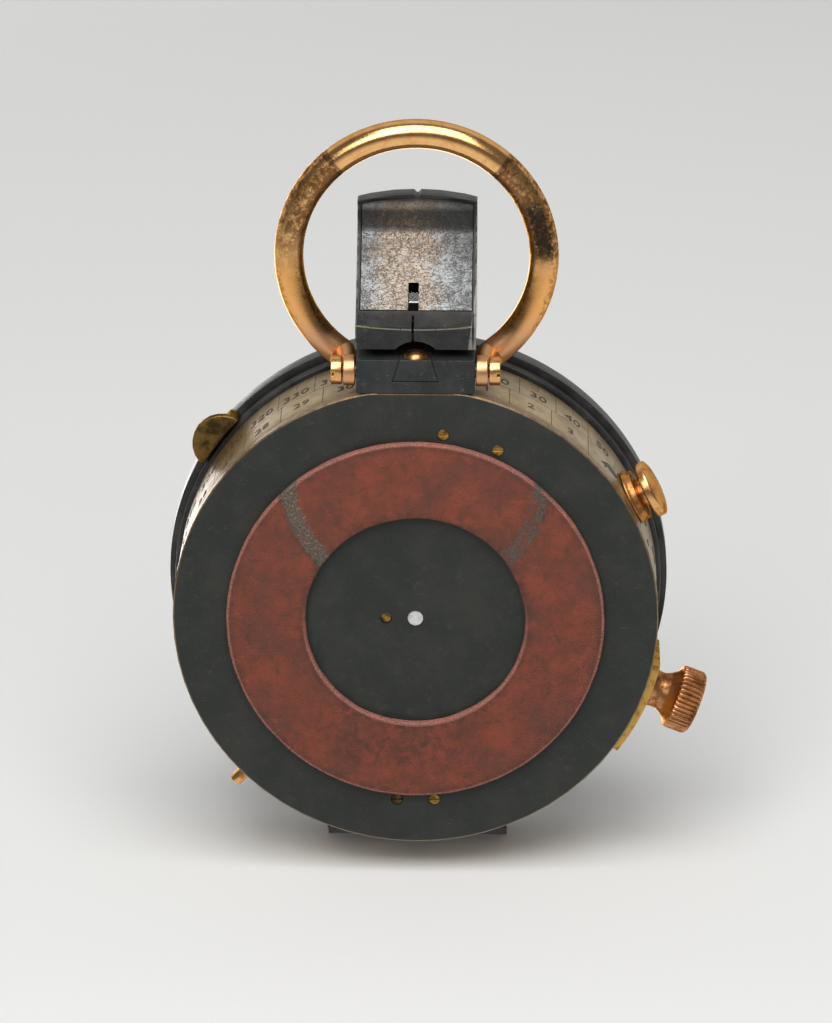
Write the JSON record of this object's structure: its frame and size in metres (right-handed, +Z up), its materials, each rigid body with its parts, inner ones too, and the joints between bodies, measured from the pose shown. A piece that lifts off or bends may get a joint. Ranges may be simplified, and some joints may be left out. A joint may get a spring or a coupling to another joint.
{
  "type": "prismatic compass",
  "caption": "Round pocket compass with a folding sighting prism, bow ring, turning bezel, hinged window lid, card brake button and clamp screw.",
  "frame": {"origin": "middle of the bottom of the bounding box, in the plane of the leather ring that the compass lies on", "axes": "+Z up through the dial and lid, +Y forward along the sight line from the prism to the lid hinge, +X to the side of the clamp screw and brake button"},
  "size_m": [0.0607, 0.087, 0.018],
  "materials": {
    "bronzed": "satin",
    "silvered_scale": "matte",
    "leather": "matte",
    "gilt": "polished",
    "aged_brass": "satin",
    "white_metal": "satin",
    "worn_cover": "satin",
    "dark_steel": "satin",
    "glass": "polished",
    "card": "matte"
  },
  "bodies": {
    "case": {"case_body": "bronzed", "scale_band": "silvered_scale", "base_ring": "leather", "base_screw_1": "aged_brass", "base_screw_2": "aged_brass", "base_screw_3": "aged_brass", "base_screw_4": "aged_brass", "pivot_foot": "white_metal", "pivot_point": "dark_steel", "leaf_rivet": "aged_brass", "brake_leaf": "aged_brass", "button_guide": "gilt", "clamp_plate": "aged_brass", "stop_screw": "aged_brass", "hinge_block": "bronzed", "ring_pivot_left": "gilt", "ring_pivot_right": "gilt", "lid_hinge_block": "bronzed", "lid_hinge_pin": "aged_brass", "lifter_bracket": "aged_brass", "lifter_pivot": "dark_steel"},
    "focus_slide": {"focus_slide": "bronzed", "focus_stud": "gilt", "prism_hinge_pin": "aged_brass"},
    "prism_box": {"prism_housing": "bronzed", "prism_cover": "worn_cover", "prism_glass": "glass", "eye_lens": "glass", "field_lens": "glass", "prism_lug_left": "bronzed", "prism_lug_right": "bronzed"},
    "bow_ring": {"bow_ring": "gilt"},
    "bezel": {"bezel_ring": "bronzed", "bezel_glass": "glass", "glass_ring": "aged_brass"},
    "lid": {"lid_frame": "bronzed", "lid_strap": "bronzed", "lid_glass": "glass", "lid_glass_ring": "bronzed", "hairline": "dark_steel", "thumb_tab": "aged_brass"},
    "clamp_screw": {"clamp_screw": "gilt"},
    "clamp_shoe": {"clamp_shoe": "aged_brass"},
    "brake_button": {"brake_button": "gilt"},
    "brake_arm": {"brake_arm": "aged_brass"},
    "card": {"compass_card": "card", "card_hub": "aged_brass", "magnet_left": "dark_steel", "magnet_right": "dark_steel"},
    "lifter_pin": {"lifter_pin": "aged_brass"},
    "lifter_lever": {"lifter_lever": "aged_brass"}
  },
  "joints": [
    {"name": "lid_open", "type": "hinge", "parent": "case", "child": "lid", "pos_m": [-0.00231, 0.04227, 0.0142], "axis": [-1, 0, 0], "range_deg": [0, 180]},
    {"name": "prism_focus", "type": "slide", "parent": "case", "child": "focus_slide", "axis": [0, 0, 1], "range_m": [0, 0.002]},
    {"name": "prism_fold", "type": "hinge", "parent": "focus_slide", "child": "prism_box", "pos_m": [-0.00231, -0.01713, 0.0155], "axis": [-1, 0, 0], "range_deg": [0, 180]},
    {"name": "ring_fold", "type": "hinge", "parent": "case", "child": "bow_ring", "pos_m": [-0.00231, -0.01603, 0.0025], "axis": [1, 0, 0], "range_deg": [-18, 180]},
    {"name": "bezel_turn", "type": "hinge", "parent": "case", "child": "bezel", "pos_m": [-0.00231, 0.01267, 0.014], "axis": [0, 0, 1], "continuous": true},
    {"name": "clamp_turn", "type": "hinge", "parent": "case", "child": "clamp_screw", "pos_m": [0.02373, 0.02298, 0.0072], "axis": [-0.9298, -0.3681, 0], "range_deg": [0, 180]},
    {"name": "clamp_shoe_press", "type": "slide", "parent": "case", "child": "clamp_shoe", "axis": [-0.9298, -0.3681, 0], "range_m": [0, 0.00031]},
    {"name": "brake_press", "type": "slide", "parent": "case", "child": "brake_button", "axis": [-0.8902, 0.4555, 0], "range_m": [0, 0.0007], "stiffness_N_per_m": 400, "springref_m": -0.0005},
    {"name": "brake_arm_swing", "type": "hinge", "parent": "case", "child": "brake_arm", "pos_m": [0.01835, 0.0021, 0.00345], "axis": [-0.4555, -0.8902, 0], "range_deg": [0, 8.03]},
    {"name": "card_turn", "type": "hinge", "parent": "case", "child": "card", "pos_m": [-0.00231, 0.01267, 0.0089], "axis": [0, 0, 1], "continuous": true},
    {"name": "lifter_pin_rise", "type": "slide", "parent": "case", "child": "lifter_pin", "axis": [0, 0, 1], "range_m": [0, 0.0002]},
    {"name": "lifter_lever_swing", "type": "hinge", "parent": "case", "child": "lifter_lever", "pos_m": [-0.00231, 0.03657, 0.0073], "axis": [1, 0, 0], "range_deg": [0, 2.84]}
  ],
  "couplings": [
    {"joint": "clamp_shoe_press", "follows": "clamp_turn", "m_per_rad": 0.000095493},
    {"joint": "brake_arm_swing", "follows": "brake_press", "rad_per_m": 200},
    {"joint": "lifter_pin_rise", "follows": "lid_open", "m_per_rad": 0.000063662},
    {"joint": "lifter_lever_swing", "follows": "lid_open", "ratio": 0.015719}
  ]
}
